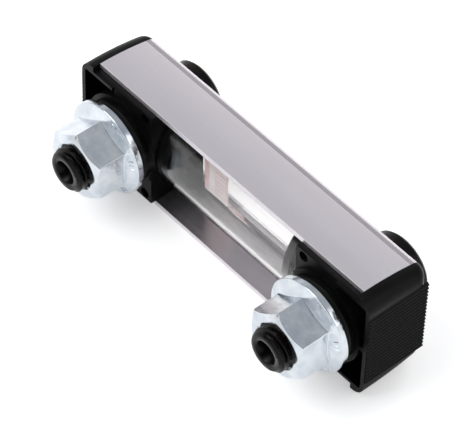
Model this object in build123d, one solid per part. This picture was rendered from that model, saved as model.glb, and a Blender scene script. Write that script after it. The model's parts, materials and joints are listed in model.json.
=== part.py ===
from build123d import *
import os
from math import radians, tan

# Column level gauge for a tank, lying on one side wall.
# X runs along the column (upper end in use at -X), Y from the tank side (0) to the front, Z across it.
# The origin is midway between the two screw axes, on the back plane of the end blocks.

# --- Column -------------------------------------------------------------------------------------
screw_spacing = 76.0      # between the two screw axes
cover_length = 98.0       # aluminium cover
end_plate = 4.5           # part of each block outside the cover
insert_length = 22.0      # part of each block inside the cover

# --- Cross-section ------------------------------------------------------------------------------
body_width = 34.0         # across the side walls at the back
body_depth = 20.0         # back plane to front face
cover_back = 2.25         # the cover stops this far in front of the blocks' back plane
side_bow_r = 81.0         # outward bow of the side walls
corner_r = 2.0            # front corners of cover and blocks
inner_corner_r = 0.5      # the same corners on faces further in, at least
cover_wall = 1.5
fit_gap = 0.1             # between parts that slide into one another

# --- Window and label ---------------------------------------------------------------------------
window_length = 50.0
window_width = 23.0
window_r = 3.0
window_gap = 0.2          # round the raised face of the sight glass
window_sink = 0.5         # face of the sight glass below the front of the cover
label_length = 9.0
label_side_gap = 2.0      # label to the inside of the sight glass where that is widest
label_gap = 0.1           # label to the end of the upper spigot
label_r = 0.5
label_thickness = 0.2

# --- Sight glass --------------------------------------------------------------------------------
glass_r = 15.6            # round back of the sight glass
glass_back = 1.8          # its rearmost line, in front of the back plane
glass_wall = 1.2
glass_front = 5.7         # thick flat front of the sight glass
glass_core_r = 0.6        # corners of the inside, next to the thick front

# --- Spigots and their seals --------------------------------------------------------------------
spigot_length = 7.0
spigot_lead = 0.5         # chamfer at the spigot's end
glass_seal_inset = 2.5    # end of the spigot to the near side of the seal groove
glass_seal_width = 2.0
glass_seal_depth = 1.0
port_d = 6.0              # fluid passage from the screw into the sight glass
port_y = 8.5

# --- End blocks ---------------------------------------------------------------------------------
end_round = 4.0           # rounding between the end face and the side walls
rib_height = 0.5
rib_root = 0.3            # ribs start this far inside the end face
rib_pitch = 1.24
rib_count = 19
rib_tip = 0.25            # flat on the crest of a rib
rib_back_border = 0.2     # plain strip behind the ribs
rib_front_border = 0.8    # plain strip in front of them
pocket_wall = 0.95        # side wall beside a pocket
pocket_end_wall = 1.2
pocket_floor = 3.4
pocket_start = 3.6        # screw axis to the near end of a pocket
pocket_r = 0.8
centre_rib = 1.2          # wall between the two pockets
boss_r = 12.9             # round seat for the tank seal
web_sink = 0.7            # corner webs beside the boss lie this far below the back plane
pin_hole_d = 3.0
pin_hole_depth = 6.0
pin_hole_inset = 2.5      # hole axis to the block's inner face
pin_hole_edge = 2.0       # hole axis to the insert's side wall
front_boss_r = 10.0       # seat of the screw head, in the opening of the cover
front_boss_gap = 0.15

# --- Hollow screws ------------------------------------------------------------------------------
screw_d = 12.0
screw_bore = 6.5
screw_hole_gap = 0.3      # radial clearance of the screw in the block
screw_tip_chamfer = 0.8
thread_proud = 3.1        # screw end beyond the nut
head_d = 18.8
head_height = 6.4
head_chamfer = 0.7
socket_af = 8.0
socket_depth = 4.0
cross_hole_d = 5.0
chamber_r = 7.4           # ring chamber round the screw
chamber_length = 7.0
bore_end = 3.0            # axial bore past the cross hole

# --- Seals --------------------------------------------------------------------------------------
tank_seal_r = 11.4
tank_seal_proud = 3.3     # out of the block, up to the nut
tank_seal_sunk = 1.2
tank_seal_round = 1.1
seal_gap = 0.15           # seal to the walls of its recess
head_seal_width = 2.0
head_seal_height = 1.5
head_seal_edge = 0.4
head_seal_inset = 0.8     # screw hole to the near side of the head seal's groove

# --- Flange nuts --------------------------------------------------------------------------------
nut_af = 18.0
nut_height = 12.0
flange_d = 26.0
flange_rim = 1.8
flange_slope = 20.0       # degrees
flange_edge = 0.3
nut_chamfer_angle = 30.0
nut_face_d = 17.0         # flat ring on top of the nut
nut_thread_gap = 0.05
nut_countersink = 0.6
upper_nut_turn = 32.0     # degrees, as each nut happened to stop
lower_nut_turn = 35.0

# --- Derived places -----------------------------------------------------------------------------
half_width = body_width / 2
block_face_x = cover_length / 2 - insert_length      # seat of the sight glass
cover_end_x = cover_length / 2
end_face_x = cover_end_x + end_plate
screw_x = screw_spacing / 2
screw_r = screw_d / 2
insert_inset = cover_wall + fit_gap
insert_front = body_depth - insert_inset
glass_centre = glass_back + glass_r
glass_inner_front = insert_front - glass_front
raised_face = body_depth - window_sink
label_width = 2 * (half_width - insert_inset - glass_wall - label_side_gap)
nut_seat_y = -tank_seal_proud
nut_top_y = nut_seat_y - nut_height
screw_end_y = nut_top_y - thread_proud
front_y = body_depth
side_at_back = half_width - insert_inset             # insert's side wall at the back plane
overlap = 1.0                                        # cutting solids run past the faces they cut


def along_x(section, start, end):
    """Extrude a section drawn in (Y, Z) from one X station to another."""
    return Pos(start, 0, 0) * extrude(Plane.YZ * section, end - start)


def along_y(section, x, start, end):
    """Extrude a section drawn in (X, Z) about a screw axis from one depth to another."""
    facing = Plane((x, start, 0), x_dir=(1, 0, 0), z_dir=(0, -1, 0))
    return extrude(facing * section, start - end)


def disc(x, radius, start, end):
    return along_y(Circle(radius), x, start, end)


def band(back, front, width):
    """Rectangle in (Y, Z) between two depths."""
    return Pos((back + front) / 2, 0) * Rectangle(front - back, width)


def body_section(inset, back):
    """Bowed outline shared by the cover, the blocks and the sight glass, inset from the outside."""
    bow = Circle(side_bow_r - inset)
    offset_z = side_bow_r - half_width
    sides = (Pos(cover_back, offset_z) * bow) & (Pos(cover_back, -offset_z) * bow)
    face = (sides & band(back, body_depth - inset, body_width)).face()
    corners = face.vertices().sort_by(Axis.X)[-2:]
    return fillet(corners, max(corner_r - inset, inner_corner_r))


def rounded(face, radius):
    """Round the outward corners of a section by shrinking it and growing it back."""
    return offset(offset(face, -radius), radius, kind=Kind.ARC).face()


def glass_section():
    """Outside of the sight glass: the insert's outline with a round back."""
    return (body_section(insert_inset, 0) & Pos(glass_centre, 0) * Circle(glass_r)).face()


def core_section(clear):
    """Inside of the sight glass, or with a clearance the plug that fits it."""
    inset = glass_wall + clear
    face = body_section(insert_inset + inset, 0) & Pos(glass_centre, 0) * Circle(glass_r - inset)
    face = face & band(0, glass_inner_front - clear, body_width)
    return rounded(face, glass_core_r)


def cover_profile():
    outside = along_x(body_section(0, cover_back), -cover_end_x, cover_end_x)
    inside = along_x(body_section(cover_wall, -overlap), -cover_length, cover_length)
    window = RectangleRounded(window_length, window_width, window_r)
    openings = along_y(window, 0, insert_front - overlap, front_y + overlap)
    for x in (-screw_x, screw_x):
        openings += disc(x, front_boss_r + front_boss_gap, insert_front - overlap, front_y + overlap)
    return outside - inside - openings


def sight_glass():
    tube = along_x(glass_section(), -block_face_x, block_face_x)
    tube -= along_x(core_section(0), -block_face_x - overlap, block_face_x + overlap)
    raised = RectangleRounded(window_length - 2 * window_gap, window_width - 2 * window_gap,
                              window_r - window_gap)
    return tube + along_y(raised, 0, insert_front - overlap, raised_face)


def level_label():
    """Printed foil on the flat inside of the sight glass, next to the upper spigot."""
    start = spigot_length - block_face_x + label_gap
    foil = Pos(start + label_length / 2, 0) * RectangleRounded(label_length, label_width, label_r)
    return along_y(foil, 0, glass_inner_front - label_thickness, glass_inner_front)


def rib_teeth():
    """Ribs across the end face, each a low trapezium that runs from back to front."""
    edge = rib_count * rib_pitch / 2
    points = [(-rib_root, -edge)]
    for i in range(rib_count):
        low = i * rib_pitch - edge
        crest = low + rib_pitch / 2
        points += [(0, low), (rib_height, crest - rib_tip / 2), (rib_height, crest + rib_tip / 2)]
    points += [(0, edge), (-rib_root, edge)]
    facing = Plane((end_face_x, rib_back_border, 0), x_dir=(1, 0, 0), z_dir=(0, -1, 0))
    run = body_depth - rib_front_border - rib_back_border
    return extrude(facing * Polygon(*points, align=None), -run)


def pocket(side):
    """Open pocket between the boss, the end wall and one side wall."""
    near = screw_x + pocket_start
    far = end_face_x - pocket_end_wall
    low = centre_rib / 2
    high = side_at_back - pocket_wall
    block = Pos((near + far) / 2, side * (low + high) / 2) * Rectangle(far - near, high - low)
    face = (block - Pos(screw_x, 0) * Circle(boss_r)).face()
    outer = face.vertices().sort_by(Axis.X)[-2:]
    hollow = along_y(fillet(outer, pocket_r), 0, -overlap, body_depth - pocket_floor)
    return hollow & along_x(body_section(insert_inset + pocket_wall, -overlap), near, end_face_x)


def corner_webs():
    """What is cut away above the corner webs, and their pin holes."""
    start = block_face_x - overlap
    end = screw_x + pocket_start
    zone = Pos((start + end) / 2, 0) * Rectangle(end - start, body_width)
    cut = along_y(zone - Pos(screw_x, 0) * Circle(boss_r), 0, -overlap, web_sink)
    for side in (-1, 1):
        hole = Pos(block_face_x + pin_hole_inset, side * (side_at_back - pin_hole_edge))
        cut += along_y(hole * Circle(pin_hole_d / 2), 0, -overlap, web_sink + pin_hole_depth)
    return cut


def spigot():
    """Plug that carries the sight glass, with the groove of its seal."""
    tip = block_face_x - spigot_length
    plug = along_x(core_section(fit_gap), tip, block_face_x + overlap)
    end_edges = plug.faces().sort_by(Axis.X)[0].edges()
    plug = chamfer(end_edges, spigot_lead)
    start = tip + glass_seal_inset
    ring = core_section(0) - core_section(glass_seal_depth)
    return plug - along_x(ring, start, start + glass_seal_width)


def head_seal_radii():
    inner = screw_r + screw_hole_gap + head_seal_inset
    return inner, inner + head_seal_width


def end_block():
    """Lower end block: end plate, insert, spigot, boss, pockets and screw hole."""
    plate = along_x(body_section(0, 0), cover_end_x, end_face_x)
    ends = plate.faces().sort_by(Axis.X)[-1].edges().group_by(Axis.Z)
    plate = fillet(ends[0] + ends[-1], end_round)
    body = plate + along_x(body_section(insert_inset, 0), block_face_x, cover_end_x + overlap)
    body += disc(screw_x, front_boss_r, insert_front - overlap, front_y)
    body += spigot() + rib_teeth()
    for side in (-1, 1):
        body -= pocket(side)
    body -= corner_webs()
    body -= disc(screw_x, screw_r + screw_hole_gap, -overlap, front_y + overlap)
    body -= disc(screw_x, tank_seal_r + seal_gap, -overlap, tank_seal_sunk)
    body -= disc(screw_x, chamber_r, port_y - chamber_length / 2, port_y + chamber_length / 2)
    inner, outer = head_seal_radii()
    groove = Circle(outer + seal_gap) - Circle(inner - seal_gap)
    body -= along_y(groove, screw_x, front_y - head_seal_height, front_y + overlap)
    port = Pos(port_y, 0) * Circle(port_d / 2)
    return body - along_x(port, block_face_x - spigot_length - overlap, screw_x)


def glass_seal():
    """Ring in the groove of the spigot, squeezed against the inside of the sight glass."""
    start = block_face_x - spigot_length + glass_seal_inset + seal_gap
    ring = core_section(0) - core_section(glass_seal_depth)
    return along_x(ring, start, start + glass_seal_width - 2 * seal_gap)


def hollow_screw():
    """Screw with a round head, an axial bore from the tank and a cross hole into the block."""
    shank = disc(screw_x, screw_r, screw_end_y, front_y + overlap)
    shank = chamfer(shank.faces().sort_by(Axis.Y)[0].edges(), screw_tip_chamfer)
    head = disc(screw_x, head_d / 2, front_y, front_y + head_height)
    head = chamfer(head.faces().sort_by(Axis.Y)[-1].edges(), head_chamfer)
    body = shank + head
    socket = RegularPolygon(socket_af / 2, 6, major_radius=False)
    top = front_y + head_height
    body -= along_y(socket, screw_x, top - socket_depth, top + overlap)
    body -= disc(screw_x, screw_bore / 2, screw_end_y - overlap, port_y + bore_end)
    cross = Pos(port_y, 0) * Circle(cross_hole_d / 2)
    return body - along_x(cross, screw_x - screw_d, screw_x + screw_d)


def head_seal():
    """Ring under the screw head, in a groove of the block."""
    inner, outer = head_seal_radii()
    low = front_y - head_seal_height
    ring = disc(screw_x, outer, low, front_y) - disc(screw_x, inner, low - overlap, front_y + overlap)
    return chamfer(ring.edges().filter_by(GeomType.CIRCLE), head_seal_edge)


def tank_seal():
    """Thick rubber ring between the block and the tank wall, here held by the nut."""
    ring = disc(screw_x, tank_seal_r, nut_seat_y, tank_seal_sunk)
    ring = fillet(ring.faces().sort_by(Axis.Y)[0].edges(), tank_seal_round)
    return ring - disc(screw_x, screw_r + screw_hole_gap, nut_seat_y - overlap, tank_seal_sunk + overlap)


def flange_nut(turn):
    """Hexagon nut with a flange, its bearing face on the tank seal."""
    flange_r = flange_d / 2
    rim_y = nut_seat_y - flange_rim
    rim = disc(screw_x, flange_r, rim_y, nut_seat_y)
    rim = chamfer(rim.edges().filter_by(GeomType.CIRCLE), flange_edge)
    cone_height = (flange_r - flange_edge - nut_af / 2) * tan(radians(flange_slope))
    seat = Plane((screw_x, rim_y, 0), x_dir=(1, 0, 0), z_dir=(0, -1, 0))
    cone = extrude(seat * Circle(flange_r - flange_edge), cone_height, taper=90 - flange_slope)
    hexagon = Rot(0, 0, turn) * RegularPolygon(nut_af / 2, 6, major_radius=False)
    prism = along_y(hexagon, screw_x, nut_top_y, nut_seat_y - flange_edge)
    top = Plane((screw_x, nut_top_y, 0), x_dir=(1, 0, 0), z_dir=(0, 1, 0))
    trim = extrude(top * Circle(nut_face_d / 2), nut_height, taper=-(90 - nut_chamfer_angle))
    body = (prism & trim) + cone + rim
    hole_r = screw_r + nut_thread_gap
    hole = disc(screw_x, hole_r, nut_top_y - overlap, nut_seat_y + overlap)
    body -= hole
    mouths = body.edges().filter_by(GeomType.CIRCLE).filter_by(lambda e: abs(e.radius - hole_r) < fit_gap)
    return chamfer(mouths, nut_countersink)


def at_upper_end(solid):
    """The same piece at the other end of the column."""
    return mirror(solid, Plane.YZ)


def both_ends(name, solid):
    return {"lower_" + name: solid, "upper_" + name: at_upper_end(solid)}


nodes = {
    "cover_profile": cover_profile(),
    "sight_glass": sight_glass(),
    "level_label": level_label(),
    "lower_flange_nut": flange_nut(lower_nut_turn),
    "upper_flange_nut": at_upper_end(flange_nut(-upper_nut_turn)),
}
nodes.update(both_ends("end_block", end_block()))
nodes.update(both_ends("glass_seal", glass_seal()))
nodes.update(both_ends("hollow_screw", hollow_screw()))
nodes.update(both_ends("head_seal", head_seal()))
nodes.update(both_ends("tank_seal", tank_seal()))

os.makedirs("parts", exist_ok=True)
for name, shape in nodes.items():
    export_step(shape, "parts/" + name + ".step")
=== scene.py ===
import json
import math

import bmesh
import bpy
from mathutils import Matrix, Vector


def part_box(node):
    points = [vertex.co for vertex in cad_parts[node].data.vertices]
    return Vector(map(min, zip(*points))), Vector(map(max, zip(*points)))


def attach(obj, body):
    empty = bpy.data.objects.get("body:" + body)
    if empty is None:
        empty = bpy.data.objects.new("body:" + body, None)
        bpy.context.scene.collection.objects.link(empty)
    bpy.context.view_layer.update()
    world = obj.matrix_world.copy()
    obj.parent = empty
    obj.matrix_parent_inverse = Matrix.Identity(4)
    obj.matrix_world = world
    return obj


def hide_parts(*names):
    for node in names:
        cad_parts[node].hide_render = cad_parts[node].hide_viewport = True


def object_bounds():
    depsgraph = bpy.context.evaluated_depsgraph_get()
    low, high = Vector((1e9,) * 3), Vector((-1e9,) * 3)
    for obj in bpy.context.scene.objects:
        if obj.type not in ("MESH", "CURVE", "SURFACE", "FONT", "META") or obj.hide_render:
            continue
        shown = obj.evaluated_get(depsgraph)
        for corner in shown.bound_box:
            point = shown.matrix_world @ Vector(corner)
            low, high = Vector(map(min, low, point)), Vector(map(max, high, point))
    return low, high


bl_info = {
    "name": "Tank level gauge",
    "version": (1, 0, 0),
    "blender": (4, 5, 0),
    "location": "View3D > Sidebar > Level gauge",
    "description": "Dresses the level gauge: drawn cover, clear tube, ribbed blocks, screws and zinc nuts",
    "category": "Object",
}

# X runs along the column, Y from the tank side to the front, Z across; the gauge lies on its -Z side wall.
MM = 0.001
ENDS = {"lower": 1, "upper": -1}
TAIL_CUT_Y = -1.0 * MM          # the threaded tail is a piece of its own below this depth
THREAD_STEPS = 129              # points round the thread
THREAD_ROWS = 170               # points along the thread
RIB_CUT = 0.01 * MM             # how far the ribs' cut goes into the end face
RIB_ROOT = 0.3 * MM             # how far a rib reaches into the block
COVER_SHADED_INSIDE_Z = 15.6 * MM      # painted shade: the cover is darker between its side walls
COVER_SHADED_INSIDE_Y = 18.45 * MM     # and behind its front wall, where shade falls
STAMP_SIZE = (1.3 * MM, 0.3 * MM, 0.45 * MM)
STAMP_PLACES = (8, 14, 20, 68, 74, 196, 202, 208, 310, 316)     # degrees round the flange
# Dark screens in the studio: the way towards each, and the cosines at its soft edge and at its core.
DARK_SCREENS = (((-0.48, -0.71, 0.50), 0.925, 0.97), ((0.45, -0.49, 0.75), 0.87, 0.95))
FLOOR_REACH = 12.0              # metres from the gauge to the edge of the floor

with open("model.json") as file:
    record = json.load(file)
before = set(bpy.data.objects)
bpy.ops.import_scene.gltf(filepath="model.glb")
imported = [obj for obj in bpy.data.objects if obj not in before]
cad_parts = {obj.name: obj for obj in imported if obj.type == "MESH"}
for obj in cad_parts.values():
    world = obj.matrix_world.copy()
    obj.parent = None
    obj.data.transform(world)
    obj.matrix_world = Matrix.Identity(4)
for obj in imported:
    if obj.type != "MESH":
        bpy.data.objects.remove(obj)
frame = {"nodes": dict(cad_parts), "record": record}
cad_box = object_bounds()
record = frame["record"]
screw_x = record["mounts"][0]["dims"]["spacing_x_mm"] * MM / 2
block_low, block_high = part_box("lower_end_block")
screw_low, screw_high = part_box("lower_hollow_screw")
seal_low, seal_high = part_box("lower_tank_seal")
label_low, label_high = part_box("level_label")


# --- Sizes and colours a user may change ----------------------------------------------------------

def length(name, about, default):
    return bpy.props.FloatProperty(name=name, description=about, default=default, min=0.0,
                                   unit="LENGTH", subtype="DISTANCE", precision=5)


def colour(name, about, default):
    return bpy.props.FloatVectorProperty(name=name, description=about, default=default, size=3,
                                         min=0.0, max=1.0, subtype="COLOR")


def number(name, about, default, low, high):
    return bpy.props.FloatProperty(name=name, description=about, default=default, min=low, max=high)


def degrees(name, about, default):
    return bpy.props.FloatProperty(name=name, description=about, default=math.radians(default),
                                   subtype="ANGLE")


def power(name, about, default):
    return bpy.props.FloatProperty(name=name, description=about, default=default, min=0.0, unit="POWER")


class GaugeSizes(bpy.types.PropertyGroup):
    cover_edge: length("Cover edge", "Rounding of the sawn and punched edges of the cover", 0.12 * MM)
    moulded_edge: length("Moulded edge", "Rounding of the edges of the end blocks", 0.14 * MM)
    nut_edge: length("Nut edge", "Rounding of the edges of the nuts", 0.22 * MM)
    nut_flats: length("Nut width", "Across the flats of a nut", 18.0 * MM)
    nut_face: length("Nut face radius", "Flat ring on top of a nut", 8.5 * MM)
    nut_bore: length("Nut bore radius", "Hole through a nut", 6.05 * MM)
    nut_sink: length("Nut countersink", "Width of the countersink of a nut", 0.6 * MM)
    nut_rim: length("Nut rim", "Thickness of the flange at its edge", 1.8 * MM)
    stamp_radius: length("Stamp radius", "Middle of the raised marks on the flange", 11.4 * MM)
    nut_chamfer: degrees("Nut chamfer", "Fall of a nut's face to its corners", 34.0)
    nut_slope: degrees("Flange slope", "Fall of the flange to its rim", 20.0)
    lower_nut_turn: degrees("Lower nut turn", "How far round the lower nut came to rest", 35.0)
    upper_nut_turn: degrees("Upper nut turn", "How far round the upper nut came to rest", 32.0)
    screw_edge: length("Screw edge", "Rounding of the edges of the screw heads", 0.18 * MM)
    thread_pitch: length("Thread pitch", "Distance from crest to crest", 1.75 * MM)
    thread_crest: length("Thread crest radius", "Outer radius of the thread", 5.97 * MM)
    thread_root: length("Thread root radius", "Inner radius of the thread", 4.95 * MM)
    bore_radius: length("Bore radius", "Radius of the axial bore", 3.25 * MM)
    tip_radius: length("Tip radius", "Outer radius of the screw's end face", 5.0 * MM)
    rib_height: length("Rib height", "Height of a rib over the end face", 0.5 * MM)
    rib_pitch: length("Rib pitch", "Distance from rib to rib", 1.24 * MM)
    rib_width: length("Rib width", "Width of a rib at its foot", 1.22 * MM)
    rib_back_margin: length("Rib margin behind", "Plain strip at the back ends of the ribs", 0.2 * MM)
    rib_front_margin: length("Rib margin in front", "Plain strip at the front ends of the ribs", 0.8 * MM)
    rib_count: bpy.props.IntProperty(name="Rib count", description="Ribs on each end face", default=19,
                                     min=1, max=60)


class GaugeFinishes(bpy.types.PropertyGroup):
    cover: colour("Anodised cover", "Satin anodised aluminium", (0.80, 0.755, 0.80))
    moulding: colour("Black moulding", "Filled nylon of the end blocks", (0.0025, 0.0025, 0.0028))
    clear: colour("Clear plastic", "Tint of the sight glass", (0.99, 0.99, 0.985))
    steel: colour("Black steel", "Blackened hollow screws", (0.0025, 0.0022, 0.002))
    zinc: colour("Zinc plate", "Bright plated nuts", (0.74, 0.77, 0.80))
    rubber: colour("Rubber", "Seals", (0.003, 0.003, 0.0032))
    foil: colour("Label foil", "Ground of the label", (0.93, 0.91, 0.91))
    print_red: colour("Label print", "Bars on the front of the label", (0.62, 0.04, 0.03))
    print_back: colour("Print from behind", "The bars as they show through the foil", (0.90, 0.76, 0.77))


class GaugeStage(bpy.types.PropertyGroup):
    floor: colour("Floor", "Pale floor", (0.93, 0.93, 0.93))
    floor_lift: number("Floor lift", "Share of white the floor adds for the camera", 0.40, 0.0, 1.0)
    floor_gleam: number("Floor gleam", "Part of that share that metal and glass reflect", 0.70, 0.0, 1.0)
    sky_top: colour("Studio ceiling", "Light from straight above", (0.46, 0.47, 0.49))
    sky_low: colour("Studio walls", "Light from the level of the floor", (1.0, 1.0, 1.0))
    dark_screen: colour("Dark screen", "Keeps glare off the glass and the nuts", (0.06, 0.06, 0.06))
    key_power: power("Key lamp", "Power of the large soft lamp", 4.0)
    fill_power: power("Fill lamp", "Power of the soft fill lamp", 0.8)
    back_power: power("Back lamp", "Power of the lamp in front of the window", 4.0)
    camera_azimuth: degrees("Camera azimuth", "Round the object, 0 looks along +Y", 47.479)
    camera_elevation: degrees("Camera elevation", "Above the floor", 47.82)
    camera_roll: degrees("Camera roll", "Tilt of the picture", 2.123)
    camera_distance: length("Camera distance", "From the point the camera aims at", 747.478 * MM)
    aim_right: length("Aim to the right", "Aimed point, right of the origin in the picture", 4.454 * MM)
    aim_up: length("Aim up", "Aimed point, above the origin in the picture", 1.732 * MM)
    focal_length: number("Focal length", "Lens in millimetres on a 36 mm sensor", 229.88, 1.0, 5000.0)


# --- Building node trees --------------------------------------------------------------------------

class Graph:
    """A node tree being built, with short calls for its nodes, sums and links."""

    def __init__(self, tree):
        self.tree = tree

    def node(self, kind, inputs=None, **settings):
        made = self.tree.nodes.new(kind)
        for key, value in settings.items():
            setattr(made, key, value)
        for key, value in (inputs or {}).items():
            self.feed(made.inputs[key], value)
        return made

    def feed(self, socket, value):
        """Link a socket to another, or give it a plain value."""
        if isinstance(value, bpy.types.NodeSocket):
            self.tree.links.new(value, socket)
        else:
            socket.default_value = value

    def sum(self, operation, *values, clamp=False):
        made = self.node("ShaderNodeMath", operation=operation, use_clamp=clamp)
        for socket, value in zip(made.inputs, values):
            self.feed(socket, value)
        return made.outputs[0]

    def ramp(self, value, low, high, out_low=0.0, out_high=1.0, smooth=False):
        """Carry a value from one range to another, held inside the second."""
        made = self.node("ShaderNodeMapRange", interpolation_type="SMOOTHSTEP" if smooth else "LINEAR")
        for key, given in zip(("Value", "From Min", "From Max", "To Min", "To Max"),
                              (value, low, high, out_low, out_high)):
            self.feed(made.inputs[key], given)
        return made.outputs["Result"]

    def pick(self, share, where, otherwise):
        """One value where the share is 1 and another where it is 0."""
        rest = self.sum("MULTIPLY", self.sum("SUBTRACT", 1.0, share), otherwise)
        return self.sum("ADD", self.sum("MULTIPLY", share, where), rest)

    def between(self, value, low, high):
        """1 where the value lies between two others, else 0."""
        above = self.sum("GREATER_THAN", value, low)
        return self.sum("MULTIPLY", above, self.sum("LESS_THAN", value, high))

    def spot(self):
        """The X, Y and Z of each point of the grid or bar being shaped."""
        place = self.node("GeometryNodeInputPosition").outputs[0]
        return self.node("ShaderNodeSeparateXYZ", {"Vector": place}).outputs

    def moved(self, geometry, x, y, z):
        """The geometry with its points put at new places."""
        there = self.node("ShaderNodeCombineXYZ", {"X": x, "Y": y, "Z": z}).outputs[0]
        return self.node("GeometryNodeSetPosition", {"Geometry": geometry, "Position": there}).outputs[0]

    def mix(self, share, first, second):
        """Mix two colours."""
        made = self.node("ShaderNodeMix", data_type="RGBA")
        for index, value in ((0, share), (6, first), (7, second)):
            if not isinstance(value, (bpy.types.NodeSocket, float)):
                value = (*value[:3], 1.0)
            self.feed(made.inputs[index], value)
        return made.outputs[2]


class Surface(Graph):
    """A material with one Principled shader, patterned in the object's own coordinates."""

    def __init__(self, name, **values):
        made = bpy.data.materials.new(name)
        made.use_nodes = True
        made.node_tree.nodes.clear()
        super().__init__(made.node_tree)
        self.material = made
        self.out = self.node("ShaderNodeOutputMaterial")
        self.shader = self.node("ShaderNodeBsdfPrincipled", values)
        self.feed(self.out.inputs["Surface"], self.shader.outputs[0])
        self.place = self.node("ShaderNodeTexCoord").outputs["Object"]

    def noise(self, scale, detail=3.0, stretch=None, rough=0.5):
        """Noise with its scale per metre, drawn out where stretch is below 1."""
        place = self.place
        if stretch:
            place = self.node("ShaderNodeMapping", {"Vector": place, "Scale": stretch}).outputs[0]
        made = self.node("ShaderNodeTexNoise", {"Vector": place, "Scale": scale, "Detail": detail,
                                                "Roughness": rough})
        return made.outputs["Fac"]

    def bump(self, height, depth, strength=1.0):
        made = self.node("ShaderNodeBump", {"Height": height, "Distance": depth, "Strength": strength})
        self.feed(self.shader.inputs["Normal"], made.outputs[0])

    def colour(self, value):
        self.feed(self.shader.inputs["Base Color"], value)

    def roughness(self, value):
        self.feed(self.shader.inputs["Roughness"], value)


def scaled(tone, *shares):
    """A tone times one share, or times a share for each channel."""
    return tuple(channel * share for channel, share in zip(tone, shares * 3))


# --- Finishes -------------------------------------------------------------------------------------

def anodised_aluminium(looks):
    """Satin anodising over fine lines left by the drawing of the profile, glossier inside, with painted shade
    darkening the inside.
    """
    made = Surface("anodised_aluminium", **{"Metallic": 0.85, "Anisotropic": 0.35})
    lines = made.noise(900.0, 4.0, (0.012, 1.0, 1.0), 0.6)
    cloud = made.noise(60.0, 2.0, (0.5, 1.0, 1.0))
    tone = made.mix(made.ramp(cloud, 0.3, 0.7), scaled(looks.cover, 0.965), tuple(looks.cover))
    tone = made.mix(made.ramp(lines, 0.35, 0.75, 0.0, 0.5), tone, scaled(looks.cover, 0.94))
    split = made.node("ShaderNodeSeparateXYZ", {"Vector": made.place})
    inside = made.sum("MULTIPLY", made.between(split.outputs[2], -COVER_SHADED_INSIDE_Z, COVER_SHADED_INSIDE_Z),
                      made.sum("LESS_THAN", split.outputs[1], COVER_SHADED_INSIDE_Y))
    # Painted shade: the inside of the cover takes 0.58 of the cover colour.
    made.colour(made.mix(inside, tone, scaled(looks.cover, 0.58)))
    rough = made.ramp(lines, 0.2, 0.8, 0.30, 0.42)
    made.roughness(made.sum("SUBTRACT", rough, made.sum("MULTIPLY", inside, 0.14)))
    made.bump(lines, 0.004 * MM, 0.5)
    return made.material


def black_moulding(looks):
    """Filled nylon: nearly smooth, with a faint flow pattern and a fine skin."""
    made = Surface("black_moulding", **{"IOR": 1.5, "Specular IOR Level": 0.11})
    flow = made.noise(140.0, 3.0)
    skin = made.noise(3800.0, 2.0)
    made.colour(made.mix(made.ramp(flow, 0.3, 0.75), tuple(looks.moulding), scaled(looks.moulding, 1.9)))
    rough = made.ramp(flow, 0.25, 0.75, 0.26, 0.40)
    made.roughness(made.sum("ADD", rough, made.ramp(skin, 0.3, 0.7, 0.0, 0.08)))
    made.bump(skin, 0.012 * MM, 0.6)
    return made.material


def clear_plastic(looks):
    """Clear moulded plastic, a little cloudy in places; it throws hardly any shadow."""
    made = Surface("clear_plastic", **{"Transmission Weight": 1.0, "IOR": 1.49})
    cloud = made.noise(70.0, 1.0, (0.25, 1.0, 1.0))
    made.colour(made.mix(made.ramp(cloud, 0.3, 0.7), tuple(looks.clear), scaled(looks.clear, 0.99)))
    made.roughness(made.ramp(cloud, 0.4, 0.8, 0.0, 0.01))
    path = made.node("ShaderNodeLightPath")
    open_way = made.node("ShaderNodeBsdfTransparent", {"Color": (0.94, 0.94, 0.94, 1.0)})
    choice = made.node("ShaderNodeMixShader", {0: path.outputs["Is Shadow Ray"], 1: made.shader.outputs[0],
                                               2: open_way.outputs[0]})
    made.feed(made.out.inputs["Surface"], choice.outputs[0])
    return made.material


def black_steel(looks):
    """Blackened steel, slightly oily, with a brown cast where the coat is thin."""
    made = Surface("black_steel", **{"Specular IOR Level": 0.16})
    oil = made.noise(260.0, 3.0)
    grain = made.noise(2600.0, 3.0)
    brown = scaled(looks.steel, 2.6, 1.9, 1.5)
    made.colour(made.mix(made.ramp(oil, 0.45, 0.8), tuple(looks.steel), brown))
    made.roughness(made.ramp(oil, 0.3, 0.7, 0.18, 0.30))
    made.bump(grain, 0.01 * MM, 0.5)
    return made.material


def zinc_plate(looks):
    """Bright zinc over a pressed nut: cloudy, with small dents."""
    made = Surface("zinc_plate", **{"Metallic": 1.0})
    cloud = made.noise(210.0, 4.0, rough=0.6)
    dents = made.noise(900.0, 2.0)
    fine = made.noise(4200.0, 2.0)
    blue = scaled(looks.zinc, 0.77, 0.81, 0.86)
    made.colour(made.mix(made.ramp(cloud, 0.3, 0.7), blue, scaled(looks.zinc, 1.08)))
    rough = made.ramp(cloud, 0.3, 0.7, 0.11, 0.17)
    made.roughness(made.sum("ADD", rough, made.ramp(fine, 0.3, 0.7, 0.0, 0.04)))
    waves = made.noise(240.0, 1.0)
    height = made.sum("ADD", made.sum("MULTIPLY", waves, 3.0), dents)
    made.bump(made.sum("ADD", height, made.sum("MULTIPLY", fine, 0.3)), 0.045 * MM, 0.8)
    return made.material


def nitrile_rubber(looks):
    """Black rubber, half matt, with a dusty bloom."""
    made = Surface("nitrile_rubber", **{"Specular IOR Level": 0.2})
    bloom = made.noise(330.0, 4.0)
    skin = made.noise(3000.0, 2.0)
    made.colour(made.mix(made.ramp(bloom, 0.4, 0.8), tuple(looks.rubber), scaled(looks.rubber, 2.2)))
    made.roughness(made.ramp(bloom, 0.3, 0.7, 0.34, 0.52))
    made.bump(skin, 0.012 * MM, 0.5)
    return made.material


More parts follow.
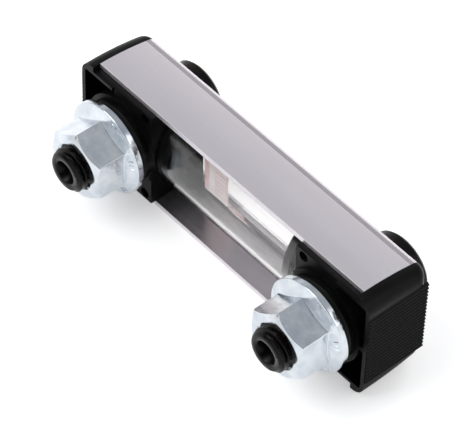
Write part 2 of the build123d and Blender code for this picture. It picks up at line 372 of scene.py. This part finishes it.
def label_ink(made, along, across):
    """Where the label is inked, from places along and across it in shares of its size."""
    box_low, box_high, line, margin = 0.47, 0.97, 0.03, 0.07
    band = made.sum("MULTIPLY", made.between(along, 0.0, 0.21), made.between(across, 0.03, 0.97))
    rungs = made.between(made.sum("FRACT", made.sum("MULTIPLY", across, 16.0)), 0.30, 0.62)
    ladder = made.sum("MULTIPLY", rungs, made.between(along, 0.52, 0.92))
    ladder = made.sum("MULTIPLY", ladder, made.between(across, 0.10, 0.90))
    whole = made.sum("MULTIPLY", made.between(along, box_low, box_high),
                     made.between(across, margin, 1.0 - margin))
    hollow = made.sum("MULTIPLY", made.between(along, box_low + line, box_high - line),
                      made.between(across, margin + line / 2, 1.0 - margin - line / 2))
    box = made.sum("SUBTRACT", whole, hollow)
    return made.sum("MAXIMUM", made.sum("MAXIMUM", made.sum("MULTIPLY", band, 0.55), ladder), box)


def label_print(looks):
    """White foil with a plain band and a ladder of bars, stronger in front than from behind."""
    made = Surface("label_print", **{"Specular IOR Level": 0.4})
    x, y, z = made.node("ShaderNodeSeparateXYZ", {"Vector": made.place}).outputs
    inked = label_ink(made, made.ramp(x, label_low.x, label_high.x), made.ramp(z, label_low.z, label_high.z))
    inked = made.sum("MULTIPLY", inked, made.ramp(made.noise(1600.0, 2.0), 0.2, 0.5, 0.75, 1.0))
    ink = made.mix(made.ramp(y, label_low.y, label_high.y), looks.print_back, looks.print_red)
    made.colour(made.mix(inked, looks.foil, ink))
    made.roughness(made.ramp(inked, 0.0, 1.0, 0.34, 0.26))
    made.bump(inked, 0.01 * MM, 0.3)
    through = made.node("ShaderNodeBsdfTranslucent", {"Color": made.mix(inked, looks.foil, looks.print_back)})
    lit = made.node("ShaderNodeMixShader", {0: 0.7, 1: made.shader.outputs[0], 2: through.outputs[0]})
    made.feed(made.out.inputs["Surface"], lit.outputs[0])
    return made.material


# --- Making meshes --------------------------------------------------------------------------------

def new_piece(name, mesh, material):
    """Put a finished mesh in the scene as a piece of the gauge."""
    mesh.name = name
    piece = bpy.data.objects.new(name, mesh)
    bpy.context.scene.collection.objects.link(piece)
    mesh.materials.clear()
    mesh.materials.append(material)
    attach(piece, "root")
    return piece


def cad_mesh(node):
    """The solid of a node as one clean mesh: joined corners and whole flat faces."""
    source = frame["nodes"][node].data
    mesh = bpy.data.meshes.new(node)
    mesh.from_pydata([v.co[:] for v in source.vertices], [], [f.vertices[:] for f in source.polygons])
    shape = bmesh.new()
    shape.from_mesh(mesh)
    bmesh.ops.remove_doubles(shape, verts=shape.verts, dist=0.002 * MM)
    bmesh.ops.dissolve_degenerate(shape, dist=0.001 * MM, edges=shape.edges)
    flat_faces(shape)
    shape.to_mesh(mesh)
    shape.free()
    return mesh


def flat_faces(shape):
    """Merge the triangles of each flat face."""
    bmesh.ops.dissolve_limit(shape, angle_limit=math.radians(0.2), verts=shape.verts, edges=shape.edges,
                             use_dissolve_boundaries=False)


def cut_away(mesh, low, high):
    """Cut a box out of a closed mesh and leave it closed."""
    body = bpy.data.objects.new("cut_body", mesh)
    knife_mesh = bpy.data.meshes.new("knife")
    shape = bmesh.new()
    bmesh.ops.create_cube(shape, size=1.0)
    size = Vector(high) - Vector(low)
    place = Matrix.Translation((Vector(high) + Vector(low)) / 2) @ Matrix.Diagonal((*size, 1.0))
    bmesh.ops.transform(shape, matrix=place, verts=shape.verts)
    shape.to_mesh(knife_mesh)
    shape.free()
    knife = bpy.data.objects.new("knife", knife_mesh)
    for made in (body, knife):
        bpy.context.scene.collection.objects.link(made)
    cut = body.modifiers.new("cut", "BOOLEAN")
    cut.operation = "DIFFERENCE"
    cut.solver = "EXACT"
    cut.object = knife
    result = plain_mesh(body)
    for made in (body, knife):
        bpy.data.objects.remove(made)
    return result


def plain_mesh(maker):
    """What an object's modifiers make of it, as a mesh of its own."""
    graph = bpy.context.evaluated_depsgraph_get()
    return bpy.data.meshes.new_from_object(maker.evaluated_get(graph))


def round_edges(piece, width, segments=2, angle=28.0):
    """Break the sharp edges and shade the rest smooth."""
    mesh = piece.data
    mesh.shade_smooth()
    mesh.set_sharp_from_angle(angle=math.radians(angle))
    bevel = piece.modifiers.new("broken_edges", "BEVEL")
    bevel.width = width
    bevel.segments = segments
    bevel.limit_method = "ANGLE"
    bevel.angle_limit = math.radians(angle)
    bevel.use_clamp_overlap = True
    bevel.harden_normals = True
    bevel.miter_outer = "MITER_ARC"


def node_group(name, inputs):
    """A geometry tree with named inputs, and its group input node."""
    tree = bpy.data.node_groups.new(name, "GeometryNodeTree")
    kinds = {"size": "NodeSocketFloat", "count": "NodeSocketInt", "material": "NodeSocketMaterial"}
    for label, kind in inputs:
        tree.interface.new_socket(label, in_out="INPUT", socket_type=kinds[kind])
    tree.interface.new_socket("Geometry", in_out="OUTPUT", socket_type="NodeSocketGeometry")
    graph = Graph(tree)
    return graph, graph.node("NodeGroupInput").outputs


def close_group(graph, geometry, material):
    """End a tree with real geometry that wears its material."""
    real = graph.node("GeometryNodeRealizeInstances", {"Geometry": geometry})
    dressed = graph.node("GeometryNodeSetMaterial", {"Geometry": real.outputs[0], "Material": material})
    graph.node("NodeGroupOutput", {"Geometry": dressed.outputs[0]})


def grown(tree, values):
    """Run a geometry tree with the given input values and keep the plain mesh."""
    maker = bpy.data.objects.new("maker", bpy.data.meshes.new("maker"))
    bpy.context.scene.collection.objects.link(maker)
    nodes = maker.modifiers.new("nodes", "NODES")
    nodes.node_group = tree
    for item in tree.interface.items_tree:
        if item.in_out == "INPUT":
            nodes[item.identifier] = values[item.name]
    mesh = plain_mesh(maker)
    maker.modifiers.remove(nodes)
    bpy.data.objects.remove(maker)
    return mesh


def joined(meshes):
    """Several meshes as one, with faces that point outwards."""
    shape = bmesh.new()
    for mesh in meshes:
        shape.from_mesh(mesh)
    bmesh.ops.recalc_face_normals(shape, faces=shape.faces)
    result = bpy.data.meshes.new("joined")
    shape.to_mesh(result)
    shape.free()
    return result


def turned(profile_at, x, angles):
    """A closed profile of (radius, depth) points, given for each angle, turned about a screw's axis."""
    shape = bmesh.new()
    rings = []
    for angle in angles:
        rings.append([shape.verts.new((x + r * math.cos(angle), y, r * math.sin(angle)))
                      for r, y in profile_at(angle)])
    for step, first in enumerate(rings):
        second = rings[(step + 1) % len(rings)]
        for i in range(len(first)):
            j = (i + 1) % len(first)
            shape.faces.new((first[i], first[j], second[j], second[i]))
    bmesh.ops.recalc_face_normals(shape, faces=shape.faces)
    mesh = bpy.data.meshes.new("turned")
    shape.to_mesh(mesh)
    shape.free()
    return mesh


def arc(centre, radius, start, end, steps):
    """Points on a quarter or other part of a circle, angles in degrees."""
    points = []
    for step in range(steps + 1):
        angle = math.radians(start + (end - start) * step / steps)
        points.append((centre[0] + radius * math.cos(angle), centre[1] + radius * math.sin(angle)))
    return points


def eased(corners, steps=3):
    """A closed profile whose corners, each given with its radius, are rounded."""
    points = []
    for i, (r, y, radius) in enumerate(corners):
        here = Vector((r, y))
        before = Vector(corners[i - 1][:2]) - here
        after = Vector(corners[(i + 1) % len(corners)][:2]) - here
        half = before.angle(after) / 2
        reach = radius / math.tan(half)
        start, end = here + before.normalized() * reach, here + after.normalized() * reach
        centre = here + (before.normalized() + after.normalized()).normalized() * radius / math.sin(half)
        for step in range(steps + 1):
            spoke = (start - centre).slerp(end - centre, step / steps)
            points.append(centre + spoke.normalized() * radius)
    return points


def face_led(mesh):
    """The mesh shaded smooth between its sharp edges, with the large faces leading the normals."""
    mesh.shade_smooth()
    mesh.set_sharp_from_angle(angle=math.radians(40.0))
    maker = bpy.data.objects.new("maker", mesh)
    bpy.context.scene.collection.objects.link(maker)
    lead = maker.modifiers.new("lead", "WEIGHTED_NORMAL")
    lead.weight = 100
    lead.keep_sharp = True
    result = plain_mesh(maker)
    bpy.data.objects.remove(maker)
    return result


def stamp(x, angle, radius, depth, slope):
    """A short raised bar on the flange of a nut, as a mark without meaning."""
    shape = bmesh.new()
    bmesh.ops.create_cube(shape, size=1.0)
    bmesh.ops.transform(shape, matrix=Matrix.Diagonal((*STAMP_SIZE, 1.0)), verts=shape.verts)
    place = Matrix.Translation((x, 0, 0)) @ Matrix.Rotation(-angle, 4, "Y")
    place = place @ Matrix.Translation((radius, depth, 0)) @ Matrix.Rotation(slope, 4, "Z")
    bmesh.ops.transform(shape, matrix=place, verts=shape.verts)
    mesh = bpy.data.meshes.new("stamp")
    shape.to_mesh(mesh)
    shape.free()
    return mesh


def hexagon_reach(angle, apothem, corner):
    """Distance from the axis to a hexagon with rounded corners, at an angle from a flat's middle."""
    off = abs(math.remainder(angle, math.pi / 3))
    if math.tan(off) * apothem <= (apothem - corner) * math.tan(math.pi / 6):
        return apothem / math.cos(off)
    centre = (apothem - corner) / math.cos(math.pi / 6)
    aside = math.pi / 6 - off
    return centre * math.cos(aside) + math.sqrt(corner ** 2 - (centre * math.sin(aside)) ** 2)


def flat_steps():
    """Angles over one flat of a nut, in degrees from its middle, closer together at the corners."""
    half = (8.0, 15.0, 22.0, 27.0, 29.0, 29.35, 29.7)
    return (*(-step for step in reversed(half)), 0.0, *half, 30.0)


def nut_profile(sizes, low, high, reach):
    """Half the section of a nut where its hexagon reaches so far from the axis."""
    edge, flange = sizes.nut_edge, (high.x - low.x) / 2
    rim_y = high.y - sizes.nut_rim
    foot_y = rim_y - (flange - reach) * math.tan(sizes.nut_slope)
    shoulder_y = low.y + (reach - sizes.nut_face) * math.tan(sizes.nut_chamfer)
    mouth = sizes.nut_bore + sizes.nut_sink
    return eased([
        (mouth, high.y, edge), (flange, high.y, edge), (flange, rim_y, 1.4 * edge),
        (reach, foot_y, edge), (reach, shoulder_y, 0.8 * edge), (sizes.nut_face, low.y, 0.3 * edge),
        (mouth, low.y, 0.5 * edge), (sizes.nut_bore, low.y + sizes.nut_sink, 0.5 * edge),
        (sizes.nut_bore, high.y - sizes.nut_sink, 0.5 * edge)])


def nut_mesh(sizes, x, low, high, turn):
    """A nut within the depths of its box, turned about its axis, with marks on the flange."""
    def profile(angle):
        return nut_profile(sizes, low, high,
                           hexagon_reach(angle - turn - math.pi / 6, sizes.nut_flats / 2, sizes.nut_edge))

    angles = [turn + math.pi / 6 + math.radians(60.0 * flat + step)
              for flat in range(6) for step in flat_steps()]
    ring = sizes.stamp_radius
    ring_y = high.y - sizes.nut_rim - ((high.x - low.x) / 2 - ring) * math.tan(sizes.nut_slope)
    stamps = [stamp(x, math.radians(place), ring, ring_y, sizes.nut_slope) for place in STAMP_PLACES]
    return face_led(joined([turned(profile, x, angles), *stamps]))


def seal_profile(outer, back, front):
    """Section of a tank seal: a well rounded back edge, small front edges and a moulding line."""
    inner, back_round, small_round = 6.3 * MM, 1.1 * MM, 0.3 * MM
    bead, line_y = 0.08 * MM, back + 2.0 * MM
    points = arc((outer - back_round, back + back_round), back_round, -90, 0, 10)
    points += [(outer, line_y - bead), (outer + bead * 0.6, line_y), (outer, line_y + bead)]
    points += arc((outer - small_round, front - small_round), small_round, 0, 90, 4)
    points += arc((inner + small_round, front - small_round), small_round, 90, 180, 4)
    points += arc((inner + small_round, back + small_round), small_round, 180, 270, 4)
    return points


# --- Trees for what repeats -----------------------------------------------------------------------

def thread_radius(graph, given, depth, turn):
    """Outer radius of the tail: crests and roots by turns, plain at the far end and chamfered at the tip."""
    # Eight whole turns more keep the phase positive.
    rounds = graph.sum("SUBTRACT", graph.sum("DIVIDE", depth, given["Pitch"]), turn)
    phase = graph.sum("FRACT", graph.sum("ADD", rounds, 8.0))
    from_crest = graph.sum("ABSOLUTE", graph.sum("SUBTRACT", phase, 0.5))
    rise = graph.ramp(from_crest, 0.07, 0.40, 1.0, 0.0)
    full = graph.ramp(graph.sum("SUBTRACT", given["Length"], depth), 0.0, 1.0 * MM, 1.0, 0.0)
    rise = graph.sum("MAXIMUM", rise, full)
    tall = graph.sum("SUBTRACT", given["Crest radius"], given["Root radius"])
    radius = graph.sum("ADD", given["Root radius"], graph.sum("MULTIPLY", rise, tall))
    return graph.sum("MINIMUM", radius, graph.sum("ADD", given["Tip radius"], depth))


def thread_tree():
    """A hollow threaded tail: a grid wrapped round the axis, its radius led by the thread's rule."""
    graph, given = node_group("threaded_tail", [
        ("Axis X", "size"), ("Tip Y", "size"), ("Length", "size"), ("Pitch", "size"),
        ("Crest radius", "size"), ("Root radius", "size"), ("Bore radius", "size"), ("Tip radius", "size"),
        ("Turn steps", "count"), ("Rows", "count"), ("Material", "material")])
    grid = graph.node("GeometryNodeMeshGrid", {
        "Size X": 1.0, "Size Y": 1.0, "Vertices X": given["Turn steps"], "Vertices Y": given["Rows"]})
    spot = graph.spot()
    turn = graph.sum("ADD", spot[0], 0.5)
    last = graph.sum("SUBTRACT", given["Rows"], 1.0)
    row = graph.sum("ROUND", graph.sum("MULTIPLY", graph.sum("ADD", spot[1], 0.5), last))
    # Rows 0 and 1 line the bore, row 2 is the inner edge of the tip, and the last row closes the far end.
    share = graph.sum("DIVIDE", graph.sum("SUBTRACT", row, 3.0), graph.sum("SUBTRACT", last, 4.0), clamp=True)
    depth = graph.sum("MULTIPLY", share, given["Length"])
    at_end = graph.sum("MAXIMUM", graph.sum("LESS_THAN", row, 0.5),
                       graph.sum("GREATER_THAN", row, graph.sum("SUBTRACT", last, 0.5)))
    on_bore = graph.sum("MAXIMUM", at_end, graph.sum("LESS_THAN", row, 1.5))
    on_lip = graph.between(row, 1.5, 2.5)
    lip = 0.3 * MM
    inner = graph.sum("ADD", given["Bore radius"], graph.sum("MULTIPLY", on_lip, lip))
    outer = thread_radius(graph, given, depth, turn)
    radius = graph.pick(graph.sum("MAXIMUM", on_bore, on_lip), inner, outer)
    depth = graph.pick(on_bore, graph.pick(at_end, given["Length"], lip), depth)
    angle = graph.sum("MULTIPLY", turn, 2 * math.pi)
    x = graph.sum("ADD", given["Axis X"], graph.sum("MULTIPLY", radius, graph.sum("COSINE", angle)))
    z = graph.sum("MULTIPLY", graph.sum("MULTIPLY", radius, graph.sum("SINE", angle)), -1.0)
    wrapped = graph.moved(grid.outputs["Mesh"], x, graph.sum("ADD", given["Tip Y"], depth), z)
    whole = graph.node("GeometryNodeMergeByDistance", {"Geometry": wrapped, "Distance": 0.002 * MM})
    close_group(graph, whole.outputs[0], given["Material"])
    return graph.tree


def rib_tree():
    """A row of rounded ribs across an end face."""
    graph, given = node_group("end_ribs", [
        ("Face X", "size"), ("Outward", "size"), ("First Y", "size"), ("Run", "size"), ("Height", "size"),
        ("Root", "size"), ("Width", "size"), ("Pitch", "size"), ("Count", "count"), ("Material", "material")])
    bar = graph.node("GeometryNodeMeshCube", {"Size": (1.0, 1.0, 1.0), "Vertices X": 2, "Vertices Y": 2,
                                              "Vertices Z": 13})
    spot = graph.spot()
    side = graph.sum("MULTIPLY", graph.sum("ABSOLUTE", spot[2]), 2.0)
    crown = graph.sum("MULTIPLY_ADD", graph.sum("COSINE", graph.sum("MULTIPLY", side, math.pi)), 0.5, 0.5)
    top = graph.sum("MULTIPLY", crown, given["Height"])
    foot = graph.sum("MULTIPLY", given["Root"], -1.0)
    out = graph.pick(graph.sum("GREATER_THAN", spot[0], 0.0), top, foot)
    x = graph.sum("MULTIPLY", out, given["Outward"])
    y = graph.sum("MULTIPLY", graph.sum("ADD", spot[1], 0.5), given["Run"])
    rib = graph.moved(bar.outputs["Mesh"], x, y, graph.sum("MULTIPLY", spot[2], given["Width"]))
    reach = graph.sum("MULTIPLY", graph.sum("SUBTRACT", given["Count"], 1.0), given["Pitch"])
    start = graph.node("ShaderNodeCombineXYZ", {"X": given["Face X"], "Y": given["First Y"],
                                                "Z": graph.sum("MULTIPLY", reach, -0.5)})
    step = graph.node("ShaderNodeCombineXYZ", {"Z": given["Pitch"]})
    row = graph.node("GeometryNodeMeshLine", {"Count": given["Count"], "Start Location": start.outputs[0],
                                              "Offset": step.outputs[0]})
    ribs = graph.node("GeometryNodeInstanceOnPoints", {"Points": row.outputs[0], "Instance": rib})
    close_group(graph, ribs.outputs[0], given["Material"])
    return graph.tree


# --- Pieces ---------------------------------------------------------------------------------------

class MakeCover(bpy.types.Operator):
    """Cover profile with broken edges and a drawn, anodised finish"""
    bl_idname = "gauge.make_cover"
    bl_label = "Cover profile"

    def execute(self, context):
        sizes, looks = context.scene.gauge_sizes, context.scene.gauge_finishes
        piece = new_piece("drawn_cover", cad_mesh("cover_profile"),
                          anodised_aluminium(looks))
        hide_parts("cover_profile")
        round_edges(piece, sizes.cover_edge)
        return {"FINISHED"}


class MakeSightGlass(bpy.types.Operator):
    """Clear sight glass"""
    bl_idname = "gauge.make_sight_glass"
    bl_label = "Sight glass"

    def execute(self, context):
        looks = context.scene.gauge_finishes
        mesh = face_led(cad_mesh("sight_glass"))
        piece = new_piece("clear_sight_glass", mesh, clear_plastic(looks))
        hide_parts("sight_glass")
        return {"FINISHED"}


class MakeLabel(bpy.types.Operator):
    """Printed foil with plain bars"""
    bl_idname = "gauge.make_label"
    bl_label = "Label"

    def execute(self, context):
        piece = new_piece("printed_foil", cad_mesh("level_label"),
                          label_print(context.scene.gauge_finishes))
        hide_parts("level_label")
        round_edges(piece, 0.04 * MM)
        return {"FINISHED"}


class MakeEndBlocks(bpy.types.Operator):
    """Moulded end blocks with their ribs"""
    bl_idname = "gauge.make_end_blocks"
    bl_label = "End blocks"

    def execute(self, context):
        sizes, looks = context.scene.gauge_sizes, context.scene.gauge_finishes
        material = black_moulding(looks)
        tree = rib_tree()
        face_x = block_high.x - sizes.rib_height
        for end, side in ENDS.items():
            node = end + "_end_block"
            near, far = sorted((side * (face_x - RIB_CUT), side * (block_high.x + MM)))
            mesh = cut_away(cad_mesh(node), (near, block_low.y - MM, block_low.z - MM),
                            (far, block_high.y + MM, block_high.z + MM))
            block = new_piece(end + "_moulded_block", mesh, material)
            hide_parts(node)
            round_edges(block, sizes.moulded_edge)
            ribs = grown(tree, {
                "Face X": side * face_x, "Outward": float(side),
                "First Y": block_low.y + sizes.rib_back_margin,
                "Run": block_high.y - block_low.y - sizes.rib_back_margin - sizes.rib_front_margin,
                "Height": sizes.rib_height, "Root": RIB_ROOT, "Width": sizes.rib_width,
                "Pitch": sizes.rib_pitch, "Count": sizes.rib_count, "Material": material})
            row = new_piece(end + "_end_ribs", joined([ribs]), material)
            round_edges(row, 0.05 * MM, segments=1, angle=50.0)
        return {"FINISHED"}


class MakeScrews(bpy.types.Operator):
    """Hollow screws with a threaded tail"""
    bl_idname = "gauge.make_screws"
    bl_label = "Hollow screws"

    def execute(self, context):
        sizes, looks = context.scene.gauge_sizes, context.scene.gauge_finishes
        material = black_steel(looks)
        tree = thread_tree()
        for end, side in ENDS.items():
            node = end + "_hollow_screw"
            low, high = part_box(node)
            head = cut_away(cad_mesh(node), (low.x - MM, low.y - MM, low.z - MM),
                            (high.x + MM, TAIL_CUT_Y, high.z + MM))
            body = new_piece(end + "_screw_body", head, material)
            round_edges(body, sizes.screw_edge)
            tail = grown(tree, {
                "Axis X": side * screw_x, "Tip Y": low.y, "Length": TAIL_CUT_Y - low.y,
                "Pitch": sizes.thread_pitch, "Crest radius": sizes.thread_crest,
                "Root radius": sizes.thread_root, "Bore radius": sizes.bore_radius,
                "Tip radius": sizes.tip_radius, "Turn steps": THREAD_STEPS, "Rows": THREAD_ROWS,
                "Material": material})
            thread = new_piece(end + "_screw_tail", joined([tail]), material)
            thread.data.shade_smooth()
            thread.data.set_sharp_from_angle(angle=math.radians(50.0))
            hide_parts(node)
        return {"FINISHED"}


class MakeNuts(bpy.types.Operator):
    """Flange nuts with eased edges and zinc plating"""
    bl_idname = "gauge.make_nuts"
    bl_label = "Flange nuts"

    def execute(self, context):
        sizes = context.scene.gauge_sizes
        material = zinc_plate(context.scene.gauge_finishes)
        for end, side in ENDS.items():
            node = end + "_flange_nut"
            mesh = nut_mesh(sizes, side * screw_x, *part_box(node), getattr(sizes, end + "_nut_turn"))
            piece = new_piece(end + "_plated_nut", mesh, material)
            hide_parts(node)
        return {"FINISHED"}


class MakeSeals(bpy.types.Operator):
    """Tank seals with their moulding line, and rubber on the hidden seals"""
    bl_idname = "gauge.make_seals"
    bl_label = "Seals"

    def execute(self, context):
        material = nitrile_rubber(context.scene.gauge_finishes)
        profile = seal_profile((seal_high.x - seal_low.x) / 2, seal_low.y, seal_high.y)
        angles = [math.radians(3.75 * step) for step in range(96)]
        for end, side in ENDS.items():
            mesh = turned(lambda angle: profile, side * screw_x, angles)
            piece = new_piece(end + "_tank_ring", mesh, material)
            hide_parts(end + "_tank_seal")
            piece.data.shade_smooth()
            piece.data.set_sharp_from_angle(angle=math.radians(40.0))
            for node in (end + "_glass_seal", end + "_head_seal"):
                kept = frame["nodes"][node].data
                kept.materials.clear()
                kept.materials.append(material)
        return {"FINISHED"}


# --- Stage ----------------------------------------------------------------------------------------

def floor_paper(stage):
    """Matt white paper; the camera, metal and glass see it a little lighter, with its shadow."""
    made = Surface("floor_paper", **{"Roughness": 0.9, "Specular IOR Level": 0.1,
                                     "Emission Color": (1, 1, 1, 1)})
    fibre = made.noise(700.0, 2.0)
    made.colour(made.mix(made.ramp(fibre, 0.3, 0.7), tuple(stage.floor), scaled(stage.floor, 0.995)))
    path = made.node("ShaderNodeLightPath")
    seen = made.sum("ADD", path.outputs["Is Camera Ray"], path.outputs["Is Transmission Ray"], clamp=True)
    gleam = made.sum("MULTIPLY", path.outputs["Is Glossy Ray"], stage.floor_gleam)
    seen = made.sum("ADD", seen, gleam, clamp=True)
    made.feed(made.shader.inputs["Emission Strength"], made.sum("MULTIPLY", seen, stage.floor_lift))
    return made.material


def studio_world(stage):
    """A pale room: white walls, a greyer ceiling and two dark screens against glare."""
    world = bpy.data.worlds.new("studio")
    world.use_nodes = True
    world.node_tree.nodes.clear()
    graph = Graph(world.node_tree)
    around = graph.node("ShaderNodeTexCoord").outputs["Generated"]
    height = graph.node("ShaderNodeSeparateXYZ", {"Vector": around}).outputs[2]
    tone = graph.mix(graph.ramp(height, 0.10, 0.75, smooth=True), stage.sky_low, stage.sky_top)
    for towards, edge, core in DARK_SCREENS:
        facing = graph.node("ShaderNodeVectorMath", {0: around, 1: Vector(towards).normalized()},
                            operation="DOT_PRODUCT")
        screen = graph.ramp(facing.outputs["Value"], edge, core, smooth=True)
        tone = graph.mix(screen, tone, stage.dark_screen)
    light = graph.node("ShaderNodeBackground", {"Color": tone, "Strength": 1.0})
    graph.node("ShaderNodeOutputWorld", {"Surface": light.outputs[0]})
    bpy.context.scene.world = world


def soft_lamp(name, place, size, power):
    """A square lamp that points at the gauge."""
    data = bpy.data.lights.new(name, "AREA")
    data.shape = "SQUARE"
    data.size = size
    data.energy = power
    lamp = bpy.data.objects.new(name, data)
    bpy.context.scene.collection.objects.link(lamp)
    lamp.location = place
    lamp.rotation_euler = (-Vector(place)).to_track_quat("-Z", "Y").to_euler()
    return lamp


class MakeStage(bpy.types.Operator):
    """Floor, studio light and camera"""
    bl_idname = "gauge.make_stage"
    bl_label = "Stage"

    def execute(self, context):
        stage = context.scene.gauge_stage
        mesh = bpy.data.meshes.new("floor")
        corners = [(x * FLOOR_REACH, y * FLOOR_REACH, cad_box[0].z)
                   for x, y in ((-1, -1), (1, -1), (1, 1), (-1, 1))]
        mesh.from_pydata(corners, [], [(0, 1, 2, 3)])
        floor = bpy.data.objects.new("floor", mesh)
        context.scene.collection.objects.link(floor)
        mesh.materials.append(floor_paper(stage))
        studio_world(stage)
        soft_lamp("key_lamp", (-0.35, -0.45, 0.75), 0.6, stage.key_power)
        soft_lamp("fill_lamp", (0.7, 0.3, 0.6), 0.5, stage.fill_power)
        soft_lamp("back_lamp", (-0.25, 0.8, 0.25), 0.5, stage.back_power).visible_glossy = False
        place_camera(stage)
        context.scene.view_settings.view_transform = "Standard"
        return {"FINISHED"}


def place_camera(stage):
    """Camera on its angles, aimed beside the origin and rolled."""
    azimuth, elevation = stage.camera_azimuth, stage.camera_elevation
    back = Vector((math.sin(azimuth) * math.cos(elevation), -math.cos(azimuth) * math.cos(elevation),
                   math.sin(elevation)))
    right = (-back).cross(Vector((0, 0, 1))).normalized()
    up = back.cross(right)
    turn = stage.camera_roll
    rolled_right = math.cos(turn) * right + math.sin(turn) * up
    rolled_up = math.cos(turn) * up - math.sin(turn) * right
    data = bpy.data.cameras.new("camera")
    data.sensor_width = 36.0
    data.sensor_fit = "HORIZONTAL"
    data.lens = stage.focal_length
    data.clip_start = 0.01
    camera = bpy.data.objects.new("camera", data)
    bpy.context.scene.collection.objects.link(camera)
    place = Matrix((rolled_right, rolled_up, back)).transposed().to_4x4()
    place.translation = (back * stage.camera_distance + rolled_right * stage.aim_right
                         + rolled_up * stage.aim_up)
    camera.matrix_world = place
    bpy.context.scene.camera = camera


# --- Panel and registration -----------------------------------------------------------------------

MAKERS = (MakeStage, MakeCover, MakeSightGlass, MakeLabel, MakeEndBlocks, MakeScrews, MakeNuts, MakeSeals)


class GaugePanel(bpy.types.Panel):
    """Sizes, finishes and makers of the level gauge"""
    bl_idname = "VIEW3D_PT_level_gauge"
    bl_label = "Level gauge"
    bl_space_type = "VIEW_3D"
    bl_region_type = "UI"
    bl_category = "Level gauge"

    def draw(self, context):
        for maker in MAKERS:
            self.layout.operator(maker.bl_idname)
        for group in (context.scene.gauge_sizes, context.scene.gauge_finishes, context.scene.gauge_stage):
            column = self.layout.column(align=True)
            for key in group.__annotations__:
                column.prop(group, key)


CLASSES = (GaugeSizes, GaugeFinishes, GaugeStage, *MAKERS, GaugePanel)


def register():
    for each in CLASSES:
        bpy.utils.register_class(each)
    bpy.types.Scene.gauge_sizes = bpy.props.PointerProperty(type=GaugeSizes)
    bpy.types.Scene.gauge_finishes = bpy.props.PointerProperty(type=GaugeFinishes)
    bpy.types.Scene.gauge_stage = bpy.props.PointerProperty(type=GaugeStage)


def unregister():
    del bpy.types.Scene.gauge_sizes, bpy.types.Scene.gauge_finishes, bpy.types.Scene.gauge_stage
    for each in reversed(CLASSES):
        bpy.utils.unregister_class(each)


def main():
    register()
    for maker in MAKERS:
        group, name = maker.bl_idname.split(".")
        getattr(getattr(bpy.ops, group), name)()


if __name__ == "__main__":
    main()
